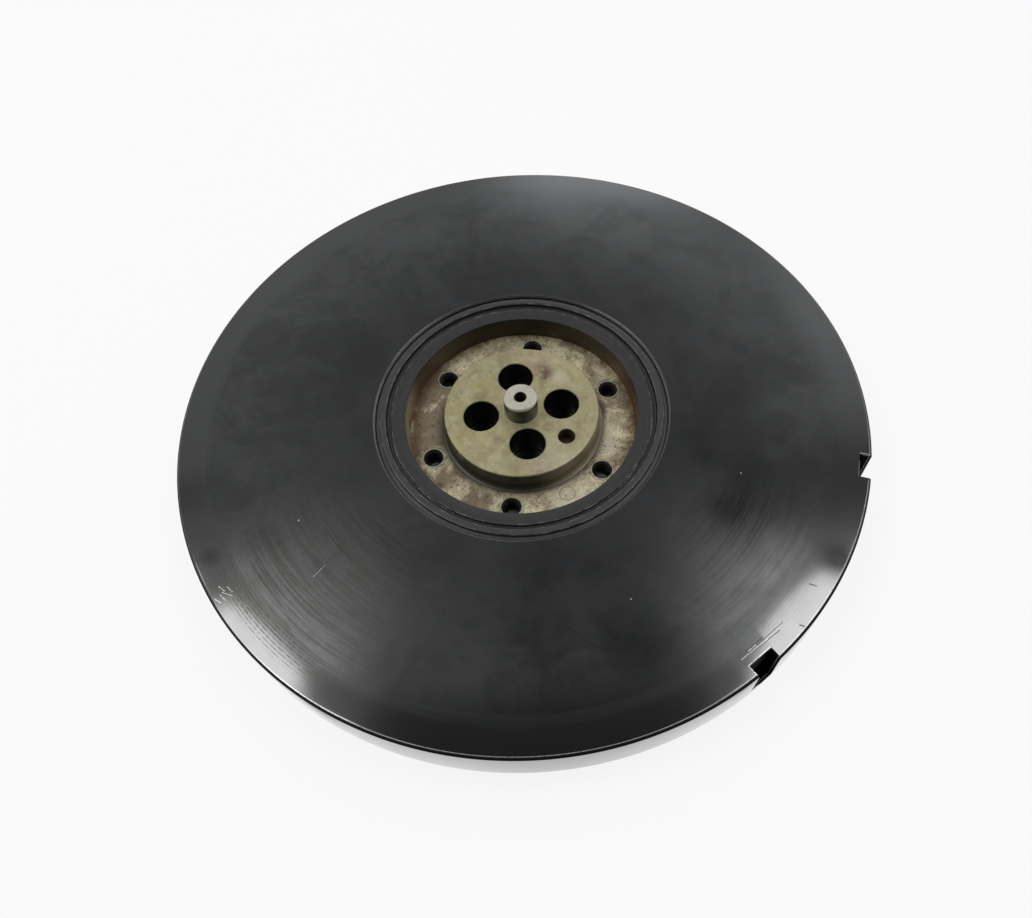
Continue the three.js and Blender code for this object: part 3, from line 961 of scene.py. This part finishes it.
class WHEELHEAD_OT_bearing(bpy.types.Operator):
    """Build the bearing's rings, cage and balls"""

    bl_idname = "wheelhead.bearing"
    bl_label = "Bearing"

    def execute(self, context):
        self.rings()
        self.cage()
        self.balls()
        return {"FINISHED"}

    def rings(self):
        track = BALL_RADIUS + 0.12
        shoulder = 1.05
        bevel = 0.5
        half = math.degrees(math.acos(shoulder / track))
        low, high = BEARING_BOTTOM + bevel, BEARING_TOP - bevel
        near, far = PITCH_RADIUS - shoulder, PITCH_RADIUS + shoulder
        outer = rounded([
            (RING_OUTSIDE - bevel, BEARING_BOTTOM), (RING_OUTSIDE, low, 0.2), (RING_OUTSIDE, high, 0.2),
            (RING_OUTSIDE - bevel, BEARING_TOP), (far, BEARING_TOP),
        ])
        outer += arc(PITCH_RADIUS, BEARING_MIDDLE, track, half, -half, 12)
        outer += [(far, BEARING_BOTTOM)]
        inner = [(near, BEARING_BOTTOM)]
        inner += arc(PITCH_RADIUS, BEARING_MIDDLE, track, 180 + half, 180 - half, 12)
        inner += rounded([
            (near, BEARING_TOP), (RING_INSIDE + bevel, BEARING_TOP),
            (RING_INSIDE, high, 0.2), (RING_INSIDE, low, 0.2), (RING_INSIDE + bevel, BEARING_BOTTOM),
        ])
        for name, profile, body in (("outer_ring", outer, "wheel"), ("inner_ring", inner, "hub")):
            piece = turned(name, profile, closed=True)
            fit_out(piece, "bearing_steel", body, f"bearing_{name}")

    def cage(self):
        low, high = BEARING_MIDDLE - 3.2, BEARING_MIDDLE + 3.2
        inside, outside = PITCH_RADIUS - 0.6, PITCH_RADIUS + 0.6
        band = [(outside, low), (outside, high), (inside, high), (inside, low)]
        band = rounded([(*corner, 0.15) for corner in band], closed=True)
        piece = turned("cage", band, closed=True)
        pocket = turned_mesh("pocket", [(0, -2), (POCKET_RADIUS, -2), (POCKET_RADIUS, 2), (0, 2)], 32)
        pocket.transform(Matrix.Rotation(math.pi / 2, 4, "Y"))
        pocket.transform(Matrix.Translation((0, 0, BEARING_MIDDLE * MM)))
        carve(piece, spread(pocket, BALL_COUNT, 360 / BALL_COUNT, 0, PITCH_RADIUS))
        fit_out(piece, "cage_brass", "ball_set", "bearing_cage")

    def balls(self):
        profile = arc(0, BEARING_MIDDLE, BALL_RADIUS, -90, 90, 16)
        for k in range(BALL_COUNT):
            mesh = turned_mesh(f"ball_{k + 1:02d}", profile, 28)
            piece = object_of(place(mesh, PITCH_RADIUS, 360 * k / BALL_COUNT))
            fit_out(piece, "bearing_steel", "ball_set", f"bearing_ball_{k + 1:02d}")


class WHEELHEAD_OT_plate(bpy.types.Operator):
    """Build the hub plate with its holes and their threads"""

    bl_idname = "wheelhead.plate"
    bl_label = "Hub Plate"

    def execute(self, context):
        hub = hub_sizes()
        radius, circle = hub.tapped_hole_radius / MM, hub.tapped_circle_radius / MM
        collar_seat, boss_seat = COLLAR_BORE - FIT, BOSS_FOOT + FIT
        profile = rounded([
            (0, HUB_BOTTOM), (PLATE_RADIUS, HUB_BOTTOM, 0.4), (PLATE_RADIUS, BEARING_BOTTOM, 0.3),
            (RING_INSIDE, BEARING_BOTTOM), (RING_INSIDE, SEAT_LEVEL), (collar_seat, SEAT_LEVEL),
            (collar_seat, HUB_FLOOR, 0.1), (boss_seat, HUB_FLOOR, 0.1), (boss_seat, SEAT_LEVEL),
            (0, SEAT_LEVEL),
        ])
        piece = turned("plate", profile)
        below = HUB_BOTTOM - OVERRUN
        tapped = hole(radius, below, HUB_FLOOR, TAPPED_MOUTH, 64)
        carve(piece, [
            *peg_cutters(below, SEAT_LEVEL),
            *screw_cutters(BOSS_SCREWS),
            *screw_cutters(COLLAR_SCREWS),
            dowel_cutter(DOWEL_BOTTOM, SEAT_LEVEL),
            hole(PIN_NECK + FIT, below, SEAT_LEVEL),
            *spread(tapped, 6, 60, DOWEL_ANGLE, circle),
        ])
        fit_out(piece, "stained_plate", "hub", "hub_plate")
        depth = 0.42
        low, high = HUB_BOTTOM + 0.1, HUB_FLOOR - TAPPED_MOUTH
        for k in range(6):
            name = f"plate_thread_{k + 1}"
            thread = thread_mesh(name, radius - depth, depth, low, high, hub.thread_pitch / MM)
            piece = object_of(place(thread, circle, DOWEL_ANGLE + 60 * k))
            fit_out(piece, "stained_plate", "hub", sharp_angle=THREAD_SHARP)
        return {"FINISHED"}


class WHEELHEAD_OT_collar(bpy.types.Operator):
    """Build the collar that clamps the bearing's inner ring"""

    bl_idname = "wheelhead.collar"
    bl_label = "Collar"

    def execute(self, context):
        edge = hub_sizes().edge_round / MM
        outside = RING_INSIDE - FIT
        profile = [
            (outside, SEAT_LEVEL), (outside, BEARING_TOP), (58.4, BEARING_TOP, 0.1), (58.4, 20.8, edge),
            (52.4, 20.1, edge), (COLLAR_BORE, HUB_FLOOR), (COLLAR_BORE, SEAT_LEVEL),
        ]
        piece = turned("collar", rounded(profile, closed=True), closed=True)
        carve(piece, screw_cutters(COLLAR_SCREWS))
        fit_out(piece, "black_collar", "hub", "hub_collar")
        return {"FINISHED"}


class WHEELHEAD_OT_boss(bpy.types.Operator):
    """Build the boss with its holes, and the dowel in the small one"""

    bl_idname = "wheelhead.boss"
    bl_label = "Boss and Dowel"

    def execute(self, context):
        edge = hub_sizes().edge_round / MM
        profile = [(0, SEAT_LEVEL), (BOSS_FOOT, SEAT_LEVEL)]
        profile += arc(BOSS_FOOT, HUB_FLOOR + FIT + FOOT_FILLET, FOOT_FILLET, 270, 180, 10)
        profile += rounded([
            (BOSS_RADIUS, HUB_FLOOR + 3), (BOSS_RADIUS, BOSS_TOP - 0.4, edge),
            (BOSS_RADIUS - 0.4, BOSS_TOP, edge), (0, BOSS_TOP),
        ])
        piece = turned("boss", profile)
        below = SEAT_LEVEL - OVERRUN
        carve(piece, [
            *peg_cutters(below, BOSS_TOP, 0.3),
            *screw_cutters(BOSS_SCREWS),
            dowel_cutter(below, BOSS_TOP, 0.25),
            hole(PIN_NECK + FIT, below, BOSS_TOP),
            hole(PIN_RADIUS + FIT, PIN_SHOULDER, BOSS_TOP, 0.1),
        ])
        fit_out(piece, "ground_boss", "hub", "hub_boss")
        dowel = rounded([
            (0, DOWEL_BOTTOM), (DOWEL_RADIUS, DOWEL_BOTTOM, 0.3), (DOWEL_RADIUS, DOWEL_TOP, 0.4),
            (0, DOWEL_TOP),
        ])
        dowel = turned_mesh("dowel", dowel, SMALL_SIDES)
        fit_out(object_of(place(dowel, DOWEL_CIRCLE, DOWEL_ANGLE)), "pin_steel", "hub", "boss_dowel")
        return {"FINISHED"}


class WHEELHEAD_OT_pin(bpy.types.Operator):
    """Build the pilot pin with its threaded hole"""

    bl_idname = "wheelhead.pin"
    bl_label = "Pilot Pin"

    def execute(self, context):
        groove, bevel = PIN_RADIUS - 0.25, 0.7
        profile = rounded([
            (0, HUB_BOTTOM), (PIN_NECK, HUB_BOTTOM, 0.3), (PIN_NECK, PIN_SHOULDER),
            (PIN_RADIUS, PIN_SHOULDER), (PIN_RADIUS, BOSS_TOP + 0.9), (groove, BOSS_TOP + 1.1, 0.1),
            (groove, BOSS_TOP + 1.5, 0.1), (PIN_RADIUS, BOSS_TOP + 1.7),
            (PIN_RADIUS, PIN_TOP - bevel, 0.25), (PIN_RADIUS - bevel, PIN_TOP, 0.25),
            (PIN_BORE + 0.35, PIN_TOP, 0.1), (PIN_BORE, PIN_TOP - 0.35),
            (PIN_BORE, PIN_TOP - PIN_DEPTH), (0, PIN_TOP - PIN_DEPTH),
        ])
        fit_out(object_of(turned_mesh("pin", profile, 128)), "pin_steel", "hub", "pilot_pin")
        depth, pitch = 0.3, 1.0
        low, high = PIN_TOP - 12.0, PIN_TOP - 0.4
        thread = thread_mesh("pin_thread", PIN_BORE - depth, depth, low, high, pitch)
        fit_out(object_of(thread), "pin_steel", "hub", sharp_angle=THREAD_SHARP)
        return {"FINISHED"}


class WHEELHEAD_OT_screws(bpy.types.Operator):
    """Build the countersunk screws that hold the boss and the collar"""

    bl_idname = "wheelhead.screws"
    bl_label = "Screws"

    def execute(self, context):
        for kind in (BOSS_SCREWS, COLLAR_SCREWS):
            for k in range(kind.count):
                self.screw(kind, k)
        return {"FINISHED"}

    def screw(self, kind, k):
        slope, end = kind.head - kind.thread, HUB_BOTTOM + kind.length
        profile = rounded([
            (0, HUB_BOTTOM), (kind.head, HUB_BOTTOM, 0.1), (kind.thread, HUB_BOTTOM + slope),
            (kind.thread, end, 0.2), (0, end),
        ])
        below, deep = HUB_BOTTOM - OVERRUN, HUB_BOTTOM + slope * 0.8
        corner = kind.socket / math.sqrt(3)
        node = f"{kind.name}_{k + 1}"
        piece = object_of(turned_mesh(node.replace("_screw_", "_fixing_"), profile, 36))
        socket = [(0, below), (corner, below), (corner, deep), (0, deep)]
        carve(piece, [turned_mesh("socket", socket, 6)])
        place(piece.data, kind.circle, kind.start + kind.step * k)
        fit_out(piece, "screw_steel", "hub", node)


# ---- Stage ----

CAMERA_PLACE = (0.007, -0.22178, 0.34111)
CAMERA_PITCH = 58.696
CAMERA_ROLL = 3.691
CAMERA_LENS = 30.316
CAMERA_SHIFT = -0.02341
FLOOR_REACH = 4.0
FLOOR_SEEN = 0.87
FLOOR_REFLECTED = 0.9
# Round softboxes: place in metres, radius in metres, and radiance.
SOFTBOXES = {
    "left_softbox": ((-0.98, 0.218, 1.66), 0.44, 6.0),
    "right_softbox": ((0.782, 0.275, 1.66), 0.33, 6.2),
}


def camera_turn():
    """Camera rotation from its pitch below the horizon and its roll."""
    p, r = math.radians(CAMERA_PITCH), math.radians(CAMERA_ROLL)
    tilt = Matrix(((1, 0, 0), (0, math.sin(p), math.cos(p)), (0, -math.cos(p), math.sin(p))))
    roll = Matrix(((math.cos(r), -math.sin(r), 0), (math.sin(r), math.cos(r), 0), (0, 0, 1)))
    return (roll @ tilt).transposed().to_4x4()


class WHEELHEAD_OT_stage(bpy.types.Operator):
    """Add the floor, the lights and the camera"""

    bl_idname = "wheelhead.stage"
    bl_label = "Stage"

    def execute(self, context):
        self.camera(context)
        self.floor()
        self.lamps(context)
        self.world(context)
        context.scene.view_settings.view_transform = "Standard"
        return {"FINISHED"}

    def camera(self, context):
        data = bpy.data.cameras.new("camera")
        data.sensor_width = 36.0
        data.sensor_fit = "HORIZONTAL"
        data.lens = CAMERA_LENS
        data.shift_x = CAMERA_SHIFT
        data.clip_start = 0.01
        camera = bpy.data.objects.new("camera", data)
        camera.matrix_world = Matrix.Translation(CAMERA_PLACE) @ camera_turn()
        context.scene.collection.objects.link(camera)
        context.scene.camera = camera

    def floor(self):
        """A pale floor that also shows in the metal's reflections."""
        corners = [(x * FLOOR_REACH, y * FLOOR_REACH, 0) for x, y in ((-1, -1), (1, -1), (1, 1), (-1, 1))]
        floor = object_of(mesh_of("floor", corners, [(0, 1, 2, 3)]))
        f = Finish("floor_finish")
        seen, glossy, through = (
            f.node("ShaderNodeLightPath", output=f"Is {kind} Ray")
            for kind in ("Camera", "Glossy", "Transmission")
        )
        mirrored = f.maths("MAXIMUM", glossy, through)
        lift = f.maths("MAXIMUM", seen * FLOOR_SEEN, mirrored * FLOOR_REFLECTED)
        plain = f.node("ShaderNodeBsdfDiffuse", values={"Color": colours().floor})
        white = f.node("ShaderNodeEmission", values={"Color": (1.0, 1.0, 1.0)})
        shader = f.node("ShaderNodeMixShader", values={0: lift, 1: plain, 2: white})
        f.node("ShaderNodeOutputMaterial", values={"Surface": shader})
        floor.data.materials.append(f.material)

    def lamps(self, context):
        """Two round softboxes, level with the floor."""
        for name, (place_at, radius, radiance) in SOFTBOXES.items():
            data = bpy.data.lights.new(name, "AREA")
            data.shape = "DISK"
            data.size = 2 * radius
            data.energy = radiance * math.pi * math.pi * radius**2
            lamp = bpy.data.objects.new(name, data)
            lamp.location = place_at
            context.scene.collection.objects.link(lamp)

    def world(self, context):
        """A pale room with a dark ceiling between the lamps and a brighter far corner."""
        world = bpy.data.worlds.new("room")
        sky = Shading(world, "Generated")
        across, along = sky.x / sky.z, sky.y / sky.z
        ceiling = sky.band(across, -0.24, 0.2, 0.06) * (1 - sky.step(along, 0.26, 0.34))
        ceiling = ceiling * sky.step(along, -0.5, -0.3) * sky.step(sky.z, 0.5, 0.6)
        front = 1 - sky.step(sky.y, -0.65, -0.25)
        low = 1 - sky.step(sky.z, 0.8, 0.9)
        corner = sky.band(across, -0.02, 0.3, 0.09) * sky.step(along, 0.85, 0.95)
        corner = corner * (0.35 + 1.5 * sky.step(along, 1.03, 1.18))
        right = sky.step(across, 0.32, 0.44) * sky.step(along, 0.6, 0.78) * low
        gap = sky.step(across, 0.12, 0.2) * sky.band(along, 0.49, 0.6, 0.03)
        level = 0.48 + 0.08 * sky.step(along, 0.5, 0.95) + 0.5 * corner + 0.3 * right
        level = level * (1 - 0.88 * front) * (1 - 0.82 * ceiling) * (1 - 0.5 * gap)
        # The camera sees a plain white room behind the floor.
        seen = sky.node("ShaderNodeLightPath", output="Is Camera Ray")
        level = level + seen * (1 - level)
        values = {"Color": (0.97, 0.985, 1.0), "Strength": level}
        background = sky.node("ShaderNodeBackground", values=values)
        sky.node("ShaderNodeOutputWorld", values={"Surface": background})
        context.scene.world = world


class WHEELHEAD_PT_panel(bpy.types.Panel):
    """Sizes, colours and the steps that build the wheel head"""

    bl_label = "Wheel Head"
    bl_idname = "WHEELHEAD_PT_panel"
    bl_space_type = "VIEW_3D"
    bl_region_type = "UI"
    bl_category = "Wheel Head"

    def draw(self, context):
        for name in GROUPS:
            group = getattr(context.scene, name)
            box = self.layout.box()
            for key in group.bl_rna.properties.keys():
                if key not in ("rna_type", "name"):
                    box.prop(group, key)
        for operator in OPERATORS:
            self.layout.operator(operator.bl_idname)


GROUPS = {
    "wheel_head_sizes": WheelHeadSizes,
    "wheel_head_hub_sizes": WheelHeadHubSizes,
    "wheel_head_colours": WheelHeadColours,
}
OPERATORS = (
    WHEELHEAD_OT_stage,
    WHEELHEAD_OT_wheel,
    WHEELHEAD_OT_retainer,
    WHEELHEAD_OT_bearing,
    WHEELHEAD_OT_plate,
    WHEELHEAD_OT_collar,
    WHEELHEAD_OT_boss,
    WHEELHEAD_OT_pin,
    WHEELHEAD_OT_screws,
)
CLASSES = (*GROUPS.values(), *OPERATORS, WHEELHEAD_PT_panel)


def register():
    for cls in CLASSES:
        bpy.utils.register_class(cls)
    for name, group in GROUPS.items():
        setattr(bpy.types.Scene, name, PointerProperty(type=group))


def unregister():
    for name in reversed(GROUPS):
        delattr(bpy.types.Scene, name)
    for cls in reversed(CLASSES):
        bpy.utils.unregister_class(cls)


def main():
    register()
    bpy.ops.wheelhead.stage()
    bpy.ops.wheelhead.wheel()
    bpy.ops.wheelhead.retainer()
    bpy.ops.wheelhead.bearing()
    bpy.ops.wheelhead.plate()
    bpy.ops.wheelhead.collar()
    bpy.ops.wheelhead.boss()
    bpy.ops.wheelhead.pin()
    bpy.ops.wheelhead.screws()


if __name__ == "__main__":
    main()
